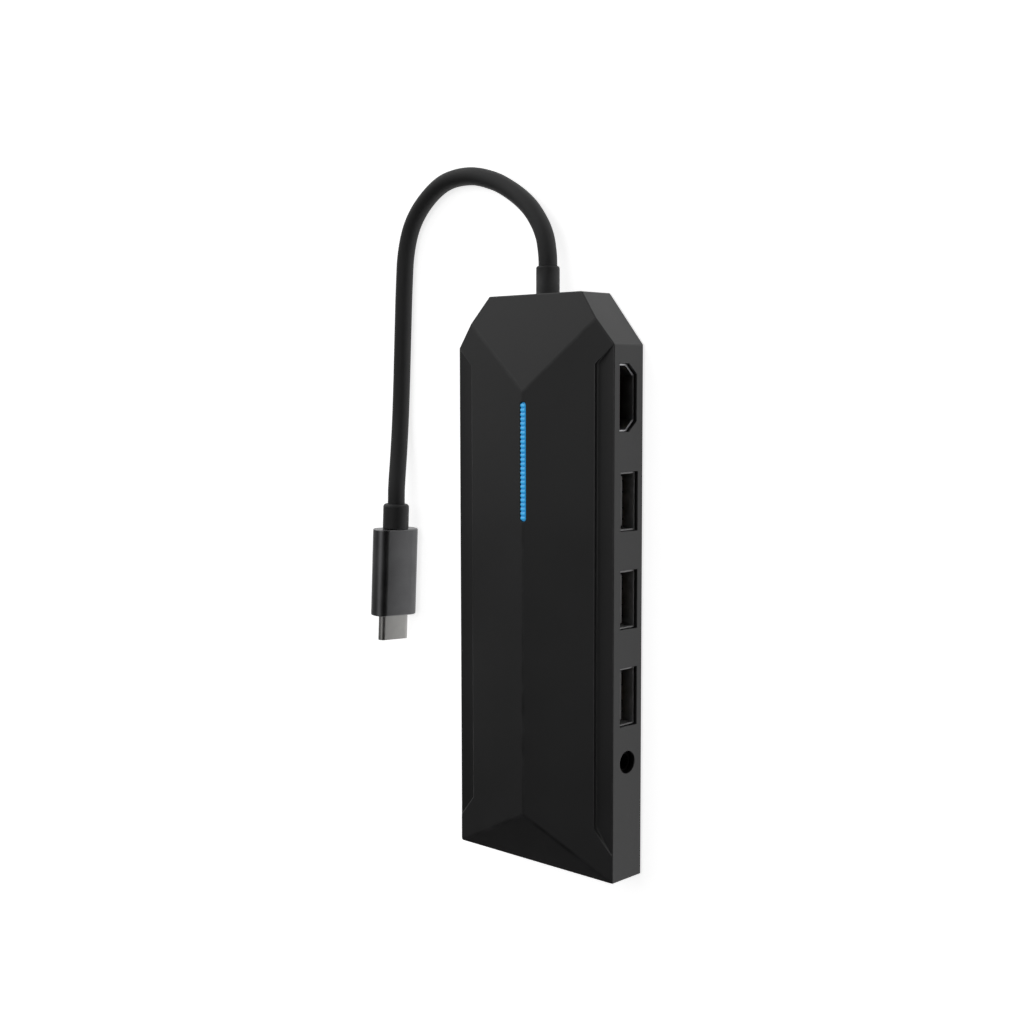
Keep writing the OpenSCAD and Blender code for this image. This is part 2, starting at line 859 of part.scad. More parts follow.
module usb_contacts(number) {
    low = usb_tongue_low - usb_contact_thick;
    foot = board_top - usb_z;
    drop = usb_contact_drop + usb_contact_thick;
    color([0.80, 0.66, 0.36]) at_usb(number)
    for (y = usb_contacts_y)
        along_y(y - usb_contact_wide / 2, y + usb_contact_wide / 2)
            polygon([[usb_contact_front, usb_tongue_low], [usb_contact_drop, usb_tongue_low],
                [usb_contact_drop, foot + usb_contact_thick],
                [usb_contact_foot, foot + usb_contact_thick],
                [usb_contact_foot, foot], [drop, foot], [drop, low], [usb_contact_front, low]]);
}

module usb_shell_1() usb_shell(0);
module usb_shell_2() usb_shell(1);
module usb_shell_3() usb_shell(2);
module usb_tongue_1() usb_tongue(0);
module usb_tongue_2() usb_tongue(1);
module usb_tongue_3() usb_tongue(2);
module usb_contacts_1() usb_contacts(0);
module usb_contacts_2() usb_contacts(1);
module usb_contacts_3() usb_contacts(2);

module hdmi_shell() {
    color([0.70, 0.70, 0.71]) translate([mouth_x, hdmi_y, hdmi_z])
    difference() {
        union() {
            along_x(-hdmi_deep, 0) hdmi_section(0);
            solder_tabs(hdmi_tabs_x, hdmi_wide / 2 + hdmi_tab_reach, board_top - hdmi_z);
        }
        along_x(-hdmi_deep - cut, cut) hdmi_section(-hdmi_sheet);
    }
}

module hdmi_tongue() {
    thick = hdmi_tongue_thick / 2;
    groove = hdmi_contact_thick + gap;
    color([0.07, 0.07, 0.08]) translate([mouth_x, hdmi_y, hdmi_z])
    difference() {
        union() {
            along_x(-hdmi_deep, hdmi_tongue_root) hdmi_section(-hdmi_sheet - gap);
            block([hdmi_tongue_root - cut, -hdmi_tongue_half, -thick],
                [hdmi_tongue_front, hdmi_tongue_half, thick]);
        }
        for (row = hdmi_rows, i = [0:row[1] - 1])
            brick([(hdmi_tongue_root - hdmi_deep) / 2, row[0] + i * hdmi_contact_pitch,
                row[2] * (thick + groove / 2)],
                [hdmi_deep + hdmi_tongue_root + 2 * gap, hdmi_contact_wide + 2 * gap, groove]);
    }
}

module hdmi_contacts() {
    foot = board_top - hdmi_z;
    drop = hdmi_contact_drop + hdmi_contact_thick;
    color([0.80, 0.66, 0.36]) translate([mouth_x, hdmi_y, hdmi_z])
    for (row = hdmi_rows, i = [0:row[1] - 1]) {
        face = row[2] * hdmi_tongue_thick / 2;
        top = max(face, face + row[2] * hdmi_contact_thick);
        low = top - hdmi_contact_thick;
        y = row[0] + i * hdmi_contact_pitch;
        along_y(y - hdmi_contact_wide / 2, y + hdmi_contact_wide / 2)
            polygon([[hdmi_contact_front, top], [hdmi_contact_drop, top],
                [hdmi_contact_drop, foot + hdmi_contact_thick],
                [hdmi_contact_foot, foot + hdmi_contact_thick],
                [hdmi_contact_foot, foot], [drop, foot], [drop, low], [hdmi_contact_front, low]]);
    }
}

module audio_body() {
    color([0.05, 0.05, 0.05])
    difference() {
        union() {
            block([audio_back_x, audio_y - audio_wide / 2, audio_z - audio_tall / 2],
                [audio_front_x, audio_y + audio_wide / 2, audio_z + audio_tall / 2]);
            bar_x(audio_front_x - cut, audio_mouth_x, audio_y, audio_z, audio_nose);
        }
        bar_x(audio_back_x + audio_end_wall, half_width, audio_y, audio_z, audio_bore);
    }
}

// A contact that stands against the side of the socket and turns outwards on the board
module audio_contact() {
    half = audio_contact_long / 2;
    block([-half, 0, 0], [half, audio_contact_thick, audio_z + audio_contact_rise - board_top]);
    block([-half, 0, 0], [half, audio_contact_foot, audio_contact_thick]);
}

module audio_contacts() {
    color([0.80, 0.66, 0.36])
    for (i = [0:3]) {
        side = i % 2 == 0 ? 1 : -1;
        translate([audio_back_x + audio_contact_start + audio_contact_pitch * i,
            audio_y + side * audio_wide / 2, board_top])
            rotate(side > 0 ? 0 : 180) audio_contact();
    }
}

// Cord and what holds it

module strain_relief() {
    radius = collar_diameter / 2;
    span = exit_y - flange_y;
    color([0.13, 0.13, 0.14])
    difference() {
        union() {
            block([-flange_half, flange_y, cord_z - flange_tall],
                [flange_half, flange_y + flange_thick, cord_z + flange_tall]);
            translate([0, flange_y, cord_z]) rotate([-90, 0, 0]) rotate_extrude()
                polygon([[0, 0], [radius, 0], [radius, span - collar_edge],
                    [radius - collar_edge, span], [0, span]]);
        }
        bar_y(flange_y - cut, exit_y + cut, 0, cord_z, cord_radius + gap);
    }
}

module cord_inner_end() {
    color([0.11, 0.11, 0.12]) bar_y(cord_inner_y, exit_y, 0, cord_z, cord_radius);
}

module cord_wires() {
    color([0.70, 0.25, 0.20])
    for (i = [0:wire_count - 1]) {
        place = i - (wire_count - 1) / 2;
        rod([wire_inner_pitch * place, cord_inner_y, cord_z],
            [wire_outer_pitch * place, wire_end_y, wire_end_z], wire_radius);
    }
}

function unit(v) = v / norm(v);
function heading(i) = i == 0 ? [0, 1, 0]
    : i == len(route) - 1 ? plug_forward
    : unit(route[i + 1] - route[i - 1]);
function cord_ring(i) = let (
        ahead = heading(i),
        side = unit(cross(ahead, [0, 0, 1])),
        up = cross(side, ahead)
    ) [for (k = [0:cord_sides - 1]) let (turn = 360 * (k + 0.5) / cord_sides)
        route[i] + cord_radius * (cos(turn) * side + sin(turn) * up)];

module cord() {
    rings = len(route);
    last = (rings - 1) * cord_sides;
    color([0.11, 0.11, 0.12])
    polyhedron(
        points = [for (i = [0:rings - 1]) each cord_ring(i)],
        faces = [
            [for (k = [0:cord_sides - 1]) k],
            [for (k = [cord_sides - 1:-1:0]) last + k],
            for (i = [0:rings - 2], k = [0:cord_sides - 1]) let (
                a = i * cord_sides + k,
                b = i * cord_sides + (k + 1) % cord_sides
            ) each [[a, a + cord_sides, b], [b, a + cord_sides, b + cord_sides]]
        ]
    );
}

// Plug: drawn along -Y from the sleeve's cord end, with its width along Z

module at_plug() {
    translate([plug_x, plug_y, plug_z]) rotate([0, -plug_lean, plug_turn]) children();
}

module plug_sleeve() {
    radius = sleeve_diameter / 2;
    color([0.12, 0.12, 0.13]) at_plug()
    union() {
        rotate([90, 0, 0]) rotate_extrude()
            polygon([[0, 0], [radius - sleeve_edge, 0], [radius, sleeve_edge],
                [radius, sleeve_length], [0, sleeve_length]]);
        bar_y(housing_back - neck_length, housing_back + cut, 0, 0, neck_radius);
    }
}

module plug_housing() {
    color([0.36, 0.36, 0.37]) at_plug()
    difference() {
        along_y(housing_front, housing_back)
            round_rectangle(housing_thickness, housing_width, housing_corner);
        along_y(housing_front - cut, housing_back - housing_wall)
            round_rectangle(housing_thickness - 2 * housing_wall,
                housing_width - 2 * housing_wall, housing_corner - housing_wall);
        bar_y(housing_back - 2 * housing_wall, housing_back + cut, 0, 0, neck_radius + gap);
    }
}

module plug_core() {
    skin = housing_wall + gap;
    color([0.09, 0.09, 0.10]) at_plug()
    difference() {
        along_y(housing_front + core_step, housing_back - skin)
            round_rectangle(housing_thickness - 2 * skin, housing_width - 2 * skin,
                housing_corner - skin);
        along_y(housing_front - cut, shell_back + gap)
            rotate(90) stadium(plug_wide + 2 * gap, plug_thick + 2 * gap);
        block([-plug_board_thick / 2 - gap, shell_back - cut, -plug_board_half - plug_board_gap],
            [plug_board_thick / 2 + gap, shell_back + plug_board_long + plug_board_gap,
                plug_board_half + plug_board_gap]);
        bar_y(housing_back - neck_length - neck_end_gap, housing_back, 0, 0, neck_radius + gap);
    }
}

module plug_shell() {
    color([0.80, 0.80, 0.80]) at_plug()
    along_y(tip_front, shell_back)
        difference() {
            rotate(90) stadium(plug_wide, plug_thick);
            rotate(90) stadium(plug_wide - 2 * plug_sheet, plug_thick - 2 * plug_sheet);
        }
}

module plug_insulator() {
    skin = plug_sheet + gap;
    color([0.06, 0.06, 0.06]) at_plug()
    difference() {
        along_y(tip_front + insulator_step, shell_back)
            rotate(90) stadium(plug_wide - 2 * skin, plug_thick - 2 * skin);
        along_y(tip_front - cut, tip_front + plug_slot_deep)
            rotate(90) stadium(plug_slot_wide, plug_slot_thick);
    }
}

module plug_contacts() {
    color([0.80, 0.66, 0.36]) at_plug()
    for (i = [0:plug_contact_count - 1], side = [-1, 1])
        brick([side * plug_contact_x, tip_front + plug_contact_back,
            (i - (plug_contact_count - 1) / 2) * plug_contact_pitch], plug_contact_size);
}

module plug_board() {
    color([0.06, 0.22, 0.14]) at_plug()
    block([-plug_board_thick / 2, shell_back + gap, -plug_board_half],
        [plug_board_thick / 2, shell_back + plug_board_long, plug_board_half]);
}

top_cover();
bottom_cover();
cover_screws();
rubber_feet();
light_lens();
light_holder();
leds();
light_board();
light_board_screws();
light_flex();
flex_socket();
main_board();
hub_chip();
video_chip();
audio_chip();
power_chip();
crystal();
capacitors();
resistors();
inductors();
thermal_pad();
shield_cover();
hdmi_shell();
hdmi_tongue();
hdmi_contacts();
usb_shell_1();
usb_shell_2();
usb_shell_3();
usb_tongue_1();
usb_tongue_2();
usb_tongue_3();
usb_contacts_1();
usb_contacts_2();
usb_contacts_3();
audio_body();
audio_contacts();
strain_relief();
cord_inner_end();
cord_wires();
cord();
plug_sleeve();
plug_housing();
plug_core();
plug_shell();
plug_insulator();
plug_contacts();
plug_board();
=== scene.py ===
"""The looks of a slim faceted docking hub with a short captive cord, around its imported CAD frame.

Everything is in metres, in the CAD frame: +X is the side with the sockets, the cord leaves at +Y and
+Z is up from the surface that the hub rests on.
"""

import math

import bmesh
import bpy
from mathutils import Matrix, Vector
from mathutils.bvhtree import BVHTree


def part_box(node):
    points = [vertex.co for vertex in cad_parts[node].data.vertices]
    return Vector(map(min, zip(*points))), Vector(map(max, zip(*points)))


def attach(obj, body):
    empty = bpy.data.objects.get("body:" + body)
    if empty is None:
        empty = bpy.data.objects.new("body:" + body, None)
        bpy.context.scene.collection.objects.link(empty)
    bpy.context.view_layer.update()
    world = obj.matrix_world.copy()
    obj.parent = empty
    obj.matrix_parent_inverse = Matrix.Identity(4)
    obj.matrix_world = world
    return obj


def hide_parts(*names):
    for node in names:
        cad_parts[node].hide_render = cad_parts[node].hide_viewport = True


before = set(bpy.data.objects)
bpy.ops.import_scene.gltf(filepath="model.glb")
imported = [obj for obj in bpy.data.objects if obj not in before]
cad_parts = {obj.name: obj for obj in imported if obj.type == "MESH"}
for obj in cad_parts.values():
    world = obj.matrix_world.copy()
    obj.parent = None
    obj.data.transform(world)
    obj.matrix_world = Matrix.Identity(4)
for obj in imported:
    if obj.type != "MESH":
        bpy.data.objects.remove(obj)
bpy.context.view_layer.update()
MM = 0.001

# ---------------------------------------------------------------- camera

CAMERA_PLACE = Vector((0.23085, 0.04453, 0.26167))
CAMERA_AHEAD = Vector((-0.68557, -0.08216, -0.72336))
CAMERA_UP = Vector((-0.05508, 0.99662, -0.06099))
LENS_MM = 51.6
SENSOR_MM = 36.0
NEAREST_SEEN = 0.01
FARTHEST_SEEN = 20.0


def make_camera():
    """The camera looks down on the hub from its socket side."""
    data = bpy.data.cameras.new("camera")
    data.lens = LENS_MM
    data.sensor_width = SENSOR_MM
    data.clip_start = NEAREST_SEEN
    data.clip_end = FARTHEST_SEEN
    back = -CAMERA_AHEAD.normalized()
    right = CAMERA_UP.cross(back).normalized()
    up = back.cross(right)
    turned = Matrix((right, up, back)).transposed().to_4x4()
    camera = bpy.data.objects.new("camera", data)
    camera.matrix_world = Matrix.Translation(CAMERA_PLACE) @ turned
    bpy.context.scene.collection.objects.link(camera)
    bpy.context.scene.camera = camera


make_camera()

# ---------------------------------------------------------------- cord

CORD_RADIUS = 2.2 * MM
STEPS_ALONG = 16
STEPS_AROUND = 8
PLUG_TURN = math.radians(-3)
PLUG_AHEAD = Vector((math.sin(PLUG_TURN), -math.cos(PLUG_TURN), 0))

# The route of the cord's centre line, in millimetres, from the collar's mouth to the plug's sleeve
ROUTE_MM = [
    (0, 73.4, 5.8),
    (-0.3, 76.8, 5.7),
    (-1.5, 80.6, 5.3),
    (-4.1, 84.4, 4.6),
    (-8.2, 88.4, 3.8),
    (-14.4, 92.4, 3),
    (-21.3, 95.5, 2.45),
    (-29.5, 97.3, 2.2),
    (-38, 96.5, 2.2),
    (-45, 92.6, 2.2),
    (-50, 87, 2.2),
    (-52.5, 80, 2.2),
    (-53.4, 71, 2.2),
    (-53.9, 62, 2.2),
    (-54.3, 54, 2.2),
    (-54.7, 46, 2.2),
    (-54.9, 37.5, 2.5),
    (-54.2, 29, 3.8),
    (-52.9, 19.5, 5.9),
    (-52.8, 15.4, 6.129),
]


def smooth_tube(name, points, radius, first, last):
    """A round tube through the points, which leaves along first and arrives along last."""
    data = bpy.data.curves.new(name, "CURVE")
    data.dimensions = "3D"
    data.resolution_u = STEPS_ALONG
    data.twist_mode = "MINIMUM"
    data.bevel_depth = 1.0
    data.bevel_resolution = STEPS_AROUND
    data.use_fill_caps = True
    spline = data.splines.new("BEZIER")
    spline.bezier_points.add(len(points) - 1)
    for i, (knot, point) in enumerate(zip(spline.bezier_points, points)):
        before = points[max(i - 1, 0)]
        after = points[min(i + 1, len(points) - 1)]
        heading = (after - before).normalized()
        if i == 0:
            heading = first
        if i == len(points) - 1:
            heading = last
        knot.co = point
        knot.radius = radius
        knot.handle_left_type = "FREE"
        knot.handle_right_type = "FREE"
        knot.handle_left = point - heading * (point - before).length / 3
        knot.handle_right = point + heading * (after - point).length / 3
    piece = bpy.data.objects.new(name, data)
    bpy.context.scene.collection.objects.link(piece)
    return piece


def make_cord():
    """The free stretch of the cord: a round jacket along its resting route."""
    points = [Vector(p) * MM for p in ROUTE_MM]
    cord = smooth_tube("cord_jacket", points, CORD_RADIUS, Vector((0, 1, 0)), PLUG_AHEAD)
    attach(cord, "root")
    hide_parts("cord")
    return cord


cord = make_cord()

# ---------------------------------------------------------------- materials


def worked(tree, operation, first, second=0.0):
    """The result of a Math node from two numbers or sockets."""
    step = tree.nodes.new("ShaderNodeMath")
    step.operation = operation
    for socket, value in zip(step.inputs, (first, second)):
        if isinstance(value, bpy.types.NodeSocket):
            tree.links.new(value, socket)
        else:
            socket.default_value = value
    return step.outputs["Value"]


class Finish:
    """A node material that is built up from a Principled shader and object-space textures."""

    def __init__(self, name, colour, roughness, metallic=0.0, **sockets):
        self.made = bpy.data.materials.new(name)
        self.made.use_nodes = True
        self.nodes = self.made.node_tree.nodes
        self.links = self.made.node_tree.links
        self.shader = self.nodes["Principled BSDF"]
        self.colour = (*colour, 1.0)
        self.roughness = roughness
        self.set("Base Color", self.colour)
        self.set("Roughness", roughness)
        self.set("Metallic", metallic)
        for socket, value in sockets.items():
            self.set(socket.replace("_", " "), value)
        self.place = self.nodes.new("ShaderNodeTexCoord").outputs["Object"]

    def set(self, socket, value):
        self.shader.inputs[socket].default_value = value

    def join(self, source, target):
        self.links.new(source, target)

    def stretched(self, scale):
        """Object coordinates, with each axis multiplied by its own scale."""
        mapping = self.nodes.new("ShaderNodeMapping")
        mapping.inputs["Scale"].default_value = scale
        self.join(self.place, mapping.inputs["Vector"])
        return mapping.outputs["Vector"]

    def noise(self, scale, detail=2.0, where=None):
        """Soft noise with that many features to the metre."""
        noise = self.nodes.new("ShaderNodeTexNoise")
        noise.inputs["Scale"].default_value = scale
        noise.inputs["Detail"].default_value = detail
        self.join(where or self.place, noise.inputs["Vector"])
        return noise.outputs["Fac"]

    def spread(self, value, low, high, from_low=0.3, from_high=0.7):
        """A texture's value spread over a range of numbers."""
        node = self.nodes.new("ShaderNodeMapRange")
        node.inputs["From Min"].default_value = from_low
        node.inputs["From Max"].default_value = from_high
        node.inputs["To Min"].default_value = low
        node.inputs["To Max"].default_value = high
        self.join(value, node.inputs["Value"])
        return node.outputs["Result"]

    def blend(self, value, first, second):
        """A colour between two, by a texture's value."""
        mix = self.nodes.new("ShaderNodeMix")
        mix.data_type = "RGBA"
        for socket, colour in (("A", first), ("B", second)):
            target = [s for s in mix.inputs if s.name == socket and s.type == "RGBA"][0]
            if isinstance(colour, bpy.types.NodeSocket):
                self.join(colour, target)
            else:
                target.default_value = (*colour[:3], 1.0)
        self.join(value, mix.inputs["Factor"])
        return [s for s in mix.outputs if s.type == "RGBA"][0]

    def vary(self, scale, share, roughness_swing):
        """Slow changes in colour and roughness, as handling and moulding leave."""
        cloud = self.noise(scale, detail=4.0)
        dark = [c * (1 - share) for c in self.colour[:3]]
        light = [min(1.0, c * (1 + share)) for c in self.colour[:3]]
        colour = self.blend(self.spread(cloud, 0, 1), dark, light)
        self.join(colour, self.shader.inputs["Base Color"])
        swing = self.spread(cloud, self.roughness - roughness_swing, self.roughness + roughness_swing)
        self.join(swing, self.shader.inputs["Roughness"])
        return self

    def grain(self, height, depth, strength):
        """A bump from a texture's value, with its depth in metres."""
        bump = self.nodes.new("ShaderNodeBump")
        bump.inputs["Strength"].default_value = strength
        bump.inputs["Distance"].default_value = depth
        self.join(height, bump.inputs["Height"])
        self.join(bump.outputs["Normal"], self.shader.inputs["Normal"])
        return self


def casing_plastic(name, colour, roughness, patches, share):
    """Black moulded plastic with a fine spark-eroded texture, and patches of slightly other shades."""
    finish = Finish(name, colour, roughness)
    finish.vary(scale=patches, share=share, roughness_swing=0.03)
    finish.grain(finish.noise(5200, detail=3.0), depth=0.02 * MM, strength=0.25)
    return finish.made


def jacket_rubber(name, colour, roughness):
    """Satin black rubber, as cable jackets and the mouldings on them have."""
    finish = Finish(name, colour, roughness, Specular_IOR_Level=0.35)
    finish.vary(scale=60, share=0.2, roughness_swing=0.04)
    finish.grain(finish.noise(2600, detail=3.0), depth=0.02 * MM, strength=0.3)
    return finish.made


def foot_rubber():
    """Matt black rubber with a pebbled skin."""
    finish = Finish("foot_rubber", (0.012, 0.012, 0.012), 0.8)
    finish.vary(scale=300, share=0.3, roughness_swing=0.05)
    finish.grain(finish.noise(4000, detail=4.0), depth=0.05 * MM, strength=0.6)
    return finish.made


def housing_metal(name, colour, roughness, share):
    """Dark grey anodised aluminium, finely blasted."""
    finish = Finish(name, colour, roughness, 1.0)
    finish.vary(scale=160, share=share, roughness_swing=0.03)
    finish.grain(finish.noise(9000), depth=0.01 * MM, strength=0.25)
    return finish.made


def steel(name, colour, roughness, along=(400, 9000, 9000)):
    """Plated sheet steel with drawing marks along one axis."""
    finish = Finish(name, colour, roughness, 1.0)
    finish.vary(scale=250, share=0.1, roughness_swing=0.05)
    marks = finish.noise(1.0, where=finish.stretched(along))
    finish.grain(marks, depth=0.01 * MM, strength=0.3)
    return finish.made


def socket_plastic(name, colour, gloss=0.3):
    """Black high-temperature plastic inside the sockets."""
    finish = Finish(name, colour, 0.5, Specular_IOR_Level=gloss)
    finish.vary(scale=500, share=0.2, roughness_swing=0.05)
    finish.grain(finish.noise(6000), depth=0.01 * MM, strength=0.3)
    return finish.made


def gold():
    """Gold plating on the contacts."""
    finish = Finish("gold", (0.78, 0.52, 0.2), 0.24, 1.0)
    finish.vary(scale=900, share=0.12, roughness_swing=0.06)
    finish.grain(finish.noise(7000), depth=0.005 * MM, strength=0.3)
    return finish.made


# The light bar's beads, which lie in a row between two plain ledges of the lens
BEAD_COUNT = 26
LENS_LOW, LENS_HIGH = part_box("light_lens")
LENS_LEDGE = 1 * MM
LENS_MIDDLE = (LENS_LOW.x + LENS_HIGH.x) / 2
BEAD_WIDTH = 1.4 * MM
BEAD_MIDDLE = (0.042, 0.3, 0.54)
BEAD_SIDE = (0.008, 0.14, 0.3)
BETWEEN_BEADS = (0.006, 0.112, 0.25)
FIRST_BEAD = LENS_LOW.y + LENS_LEDGE + BEAD_WIDTH / 2
BEAD_PITCH = (LENS_HIGH.y - LENS_LOW.y - 2 * LENS_LEDGE - BEAD_WIDTH) / (BEAD_COUNT - 1)


def light_lens():
    """The blue light bar: each bead glows in its middle, and dims to its sides and its neighbours."""
    finish = Finish("light_lens", (0.05, 0.3, 0.6), 0.25)
    tree = finish.made.node_tree
    split = finish.nodes.new("ShaderNodeSeparateXYZ")
    finish.join(finish.place, split.inputs["Vector"])
    along = worked(tree, "SUBTRACT", split.outputs["Y"], FIRST_BEAD)
    wave = worked(tree, "COSINE", worked(tree, "MULTIPLY", along, 2 * math.pi / BEAD_PITCH))
    colour = finish.blend(finish.spread(wave, 0, 1, -1, 1), BETWEEN_BEADS, BEAD_MIDDLE)
    across = worked(tree, "ABSOLUTE", worked(tree, "SUBTRACT", split.outputs["X"], LENS_MIDDLE))
    side = finish.spread(across, 0, 1, 0.3 * BEAD_WIDTH, 0.6 * BEAD_WIDTH)
    colour = finish.blend(side, colour, BEAD_SIDE)
    finish.join(colour, finish.shader.inputs["Emission Color"])
    finish.set("Emission Strength", 1.0)
    finish.vary(scale=400, share=0.1, roughness_swing=0.03)
    return finish.made


def board_green():
    """Green solder mask, with the copper under it showing as paler tracks."""
    finish = Finish("board_green", (0.012, 0.07, 0.035), 0.35)
    bricks = finish.nodes.new("ShaderNodeTexBrick")
    bricks.inputs["Scale"].default_value = 260
    bricks.inputs["Mortar Size"].default_value = 0.03
    bricks.inputs["Color1"].default_value = (0.010, 0.06, 0.03, 1)
    bricks.inputs["Color2"].default_value = (0.014, 0.08, 0.04, 1)
    bricks.inputs["Mortar"].default_value = (0.03, 0.14, 0.06, 1)
    finish.join(finish.place, bricks.inputs["Vector"])
    finish.join(bricks.outputs["Color"], finish.shader.inputs["Base Color"])
    finish.grain(bricks.outputs["Fac"], depth=0.02 * MM, strength=0.4)
    return finish.made


def simple(name, colour, roughness, metallic=0.0, scale=600, share=0.15):
    """A small piece's finish: slow colour changes and a fine grain."""
    finish = Finish(name, colour, roughness, metallic)
    finish.vary(scale=scale, share=share, roughness_swing=0.05)
    finish.grain(finish.noise(scale * 8), depth=0.01 * MM, strength=0.3)
    return finish.made


USB_SHELL = simple("shell_dark", (0.2, 0.2, 0.202), 0.36, 0.4)
HDMI_SHELL = steel("shell_steel", (0.36, 0.36, 0.37), 0.34)
SCREW_STEEL = steel("screw_steel", (0.4, 0.4, 0.41), 0.4)
PLASTIC = socket_plastic("socket_plastic", (0.008, 0.008, 0.008))
TONGUE = socket_plastic("tongue_plastic", (0.13, 0.13, 0.13))
# The jack's plastic is much darker than the other socket plastic and has almost no sheen, so the hole it
# lines shows plain black. This is painted shade of the hole, laid over the plastic's own black.
JACK_BLACK_AND_PAINTED_SHADE = socket_plastic("jack_plastic_and_painted_shade", (0.0015, 0.0015, 0.0015), 0.05)
GOLD = gold()
JACKET = jacket_rubber("jacket_rubber", (0.021, 0.021, 0.0215), 0.64)
MOULDING = jacket_rubber("cord_moulding", (0.021, 0.021, 0.0215), 0.6)
CHIP = simple("chip_epoxy", (0.012, 0.012, 0.013), 0.55)
BOARD = board_green()
CASING = casing_plastic("casing_plastic", (0.0085, 0.0085, 0.009), 0.46, 35, 0.25)
HOUSING = housing_metal("housing_metal", (0.12, 0.12, 0.123), 0.36, 0.12)

# Handling burnishes the edges of the casing and of the plug in patches
CASING_EDGE = casing_plastic("casing_edge", (0.012, 0.012, 0.0125), 0.4, 220, 0.45)
HOUSING_EDGE = housing_metal("housing_edge", (0.17, 0.17, 0.173), 0.3, 0.3)

FINISHES = {
    "top_cover": CASING,
    "bottom_cover": CASING,
    "cover_screws": SCREW_STEEL,
    "rubber_feet": foot_rubber(),
    "light_lens": light_lens(),
    "light_holder": PLASTIC,
    "leds": simple("led_white", (0.75, 0.73, 0.6), 0.4),
    "light_board": BOARD,
    "light_board_screws": SCREW_STEEL,
    "light_flex": simple("flex_amber", (0.38, 0.16, 0.03), 0.4),
    "flex_socket": simple("socket_ivory", (0.62, 0.58, 0.48), 0.5),
    "main_board": BOARD,
    "hub_chip": CHIP,
    "video_chip": CHIP,
    "audio_chip": CHIP,
    "power_chip": CHIP,
    "crystal": simple("crystal_can", (0.6, 0.6, 0.6), 0.3, 1.0),
    "capacitors": simple("capacitor_tan", (0.32, 0.2, 0.1), 0.5),
    "resistors": CHIP,
    "inductors": simple("inductor_grey", (0.05, 0.05, 0.052), 0.6),
    "thermal_pad": simple("pad_blue", (0.2, 0.33, 0.45), 0.8),
    "shield_cover": steel("shield_steel", (0.6, 0.6, 0.6), 0.35, (9000, 400, 9000)),
    "hdmi_shell": HDMI_SHELL,
    "hdmi_tongue": PLASTIC,
    "hdmi_contacts": GOLD,
    "audio_body": JACK_BLACK_AND_PAINTED_SHADE,
    "audio_contacts": GOLD,
    "strain_relief": MOULDING,
    "cord_inner_end": JACKET,
    "cord_wires": simple("wire_red", (0.4, 0.03, 0.02), 0.45),
    "plug_sleeve": MOULDING,
    "plug_housing": HOUSING,
    "plug_core": PLASTIC,
    "plug_shell": steel("plug_steel", (0.365, 0.36, 0.35), 0.38, (9000, 400, 9000)),
    "plug_insulator": PLASTIC,
    "plug_contacts": GOLD,
    "plug_board": BOARD,
}
for number in (1, 2, 3):
    FINISHES[f"usb_shell_{number}"] = USB_SHELL
    FINISHES[f"usb_tongue_{number}"] = TONGUE
    FINISHES[f"usb_contacts_{number}"] = GOLD


def paint(piece, finish):
    """Gives every face of a piece one finish."""
    piece.data.materials.clear()
    piece.data.materials.append(finish)


cord.data.materials.append(JACKET)

# ---------------------------------------------------------------- casing and other rounded pieces


WELD_WITHIN = 0.001 * MM
FLAT_WITHIN = math.radians(0.3)
ROUND_SEGMENTS = 3
CASING_ROUND = 0.5 * MM
CORNER_ROUND = 0.3 * MM
MOUTH_ROUND = 0.12 * MM
HOUSING_ROUND = 0.25 * MM
SLEEVE_ROUND = 0.3 * MM
COLLAR_ROUND = 0.2 * MM


def welded(node):
    """A CAD node's mesh as one closed skin, with flat stretches joined into single faces."""
    work = bmesh.new()
    work.from_mesh(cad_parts[node].data)
    bmesh.ops.remove_doubles(work, verts=work.verts, dist=WELD_WITHIN)
    bmesh.ops.dissolve_limit(work, angle_limit=FLAT_WITHIN, verts=work.verts, edges=work.edges)
    return work


def rounded(node, width_of, most, edge_finish=None):
    """A copy of a CAD node with rounded edges: width_of gives each edge's width, which is at most most."""
    work = welded(node)
    weight = work.edges.layers.float.new("bevel_weight_edge")
    for edge in work.edges:
        edge[weight] = width_of(edge) / most
    data = bpy.data.meshes.new(node + "_skin")
    work.to_mesh(data)
    work.free()
    for face in data.polygons:
        face.use_smooth = True
    piece = bpy.data.objects.new(node + "_skin", data)
    bpy.context.scene.collection.objects.link(piece)
    bevel = piece.modifiers.new("round", "BEVEL")
    bevel.limit_method = "WEIGHT"
    bevel.width = most
    bevel.segments = ROUND_SEGMENTS
    bevel.use_clamp_overlap = False
    bevel.harden_normals = False
    bevel.miter_outer = "MITER_ARC"
    normals = piece.modifiers.new("normals", "WEIGHTED_NORMAL")
    normals.keep_sharp = False
    normals.weight = 100
    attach(piece, "root")
    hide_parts(node)
    paint(piece, FINISHES[node])
    if edge_finish:
        piece.data.materials.append(edge_finish)
        bevel.material = 1


def turn_of(edge):
    """How far an edge's two faces turn from each other, in degrees, or nothing at a seam."""
    if len(edge.link_faces) != 2:
        return 0.0
    return math.degrees(edge.calc_face_angle(0.0))


def outward(angle, width):
    """A rule that gives one width to every outward edge that turns by more than the angle."""
    return lambda edge: width if turn_of(edge) > angle and edge.is_convex else 0.0


def middle_of(face):
    """A face's middle to 0.01 mm, by which the face is known again in another copy of its mesh."""
    return tuple(round(c / MM, 2) for c in face.calc_center_median())


def outer_faces(node):
    """The middles of a cover's large outer faces: nothing of the cover is in front of their middles."""
    work = welded(node)
    tree = BVHTree.FromBMesh(work)
    found = set()
    for face in work.faces:
        start = face.calc_center_median_weighted() + face.normal * 0.01 * MM
        covered = tree.ray_cast(start, face.normal)[0] is not None
        large = face.calc_area() > 4 * MM * MM
        if large and not covered and face.normal.z > -0.5:
            found.add(middle_of(face))
    work.free()
    return found


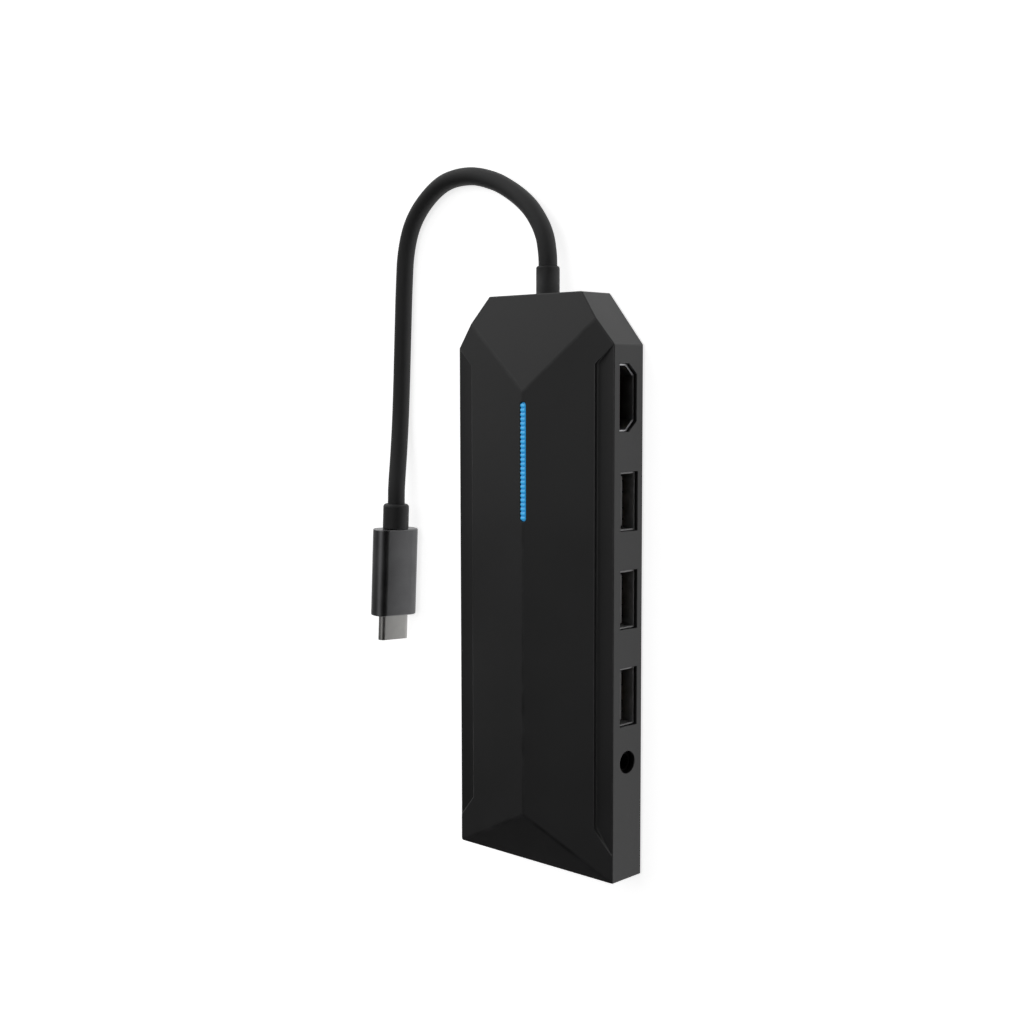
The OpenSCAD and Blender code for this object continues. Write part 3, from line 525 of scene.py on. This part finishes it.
def make_casing():
    """The top cover: soft edges between its outer faces, and finer ones round its openings."""
    outer = outer_faces("top_cover")

    def width(edge):
        if turn_of(edge) < 4 or not edge.is_convex:
            return 0.0
        sides = sum(middle_of(face) in outer for face in edge.link_faces)
        if sides == 2:
            return CASING_ROUND if turn_of(edge) < 30 else CORNER_ROUND
        return MOUTH_ROUND if sides == 1 else 0.0

    rounded("top_cover", width, CASING_ROUND, CASING_EDGE)


make_casing()
rounded("plug_housing", outward(40, HOUSING_ROUND), HOUSING_ROUND, HOUSING_EDGE)
rounded("plug_sleeve", outward(30, SLEEVE_ROUND), SLEEVE_ROUND)
rounded("strain_relief", outward(30, COLLAR_ROUND), COLLAR_ROUND)

for name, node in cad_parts.items():
    paint(node, FINISHES.get(name, JACKET))

# ---------------------------------------------------------------- floor and light

FLOOR_SIZE = 6.0
FLOOR_WHITE = (0.86, 0.86, 0.86)
FLOOR_GLOW = 0.78
SURROUND_RADIANCE = 0.01

# The pale sweep where the floor ends, brightest at the horizon
SWEEP_RADIANCE = 0.9
SWEEP_FALL = 30

# Each soft light's direction, its radiance and how steeply it fades away from that direction
SOFT_LIGHTS = [
    (Vector((-0.66, 0.67, 0.37)), 1.65, 5),
    (Vector((0.15, 0.14, 0.98)), 2.2, 20),
]


def make_floor():
    """A plain white floor that glows, as a light table does, so that shadows on it stay faint."""
    data = bpy.data.meshes.new("floor")
    work = bmesh.new()
    bmesh.ops.create_grid(work, x_segments=4, y_segments=4, size=FLOOR_SIZE / 2)
    work.to_mesh(data)
    work.free()
    floor = bpy.data.objects.new("floor", data)
    bpy.context.scene.collection.objects.link(floor)
    finish = Finish("floor_paint", FLOOR_WHITE, 0.8, Specular_IOR_Level=0.1)
    finish.set("Emission Color", (1, 1, 1, 1))
    finish.set("Emission Strength", FLOOR_GLOW)
    finish.vary(scale=3, share=0.01, roughness_swing=0.02)
    floor.data.materials.append(finish.made)


def make_surround():
    """Plain soft studio light: very large soft lights, and a pale sweep where the floor ends."""
    world = bpy.data.worlds.new("surround")
    world.use_nodes = True
    tree = world.node_tree
    nodes = tree.nodes
    way = nodes.new("ShaderNodeTexCoord").outputs["Generated"]

    total = SURROUND_RADIANCE
    for aim, radiance, fall in SOFT_LIGHTS:
        facing = nodes.new("ShaderNodeVectorMath")
        facing.operation = "DOT_PRODUCT"
        facing.inputs[1].default_value = aim.normalized()
        tree.links.new(way, facing.inputs[0])
        share = worked(tree, "POWER", worked(tree, "MAXIMUM", facing.outputs["Value"], 0), fall)
        total = worked(tree, "ADD", worked(tree, "MULTIPLY", share, radiance), total)

    split = nodes.new("ShaderNodeSeparateXYZ")
    tree.links.new(way, split.inputs["Vector"])
    level = worked(tree, "SUBTRACT", 1, worked(tree, "ABSOLUTE", split.outputs["Z"]))
    sweep = worked(tree, "MULTIPLY", worked(tree, "POWER", level, SWEEP_FALL), SWEEP_RADIANCE)
    total = worked(tree, "ADD", sweep, total)
    background = nodes["Background"]
    background.inputs["Color"].default_value = (1, 1, 1, 1)
    tree.links.new(total, background.inputs["Strength"])
    bpy.context.scene.world = world


make_floor()
make_surround()
bpy.context.scene.view_settings.view_transform = "Standard"
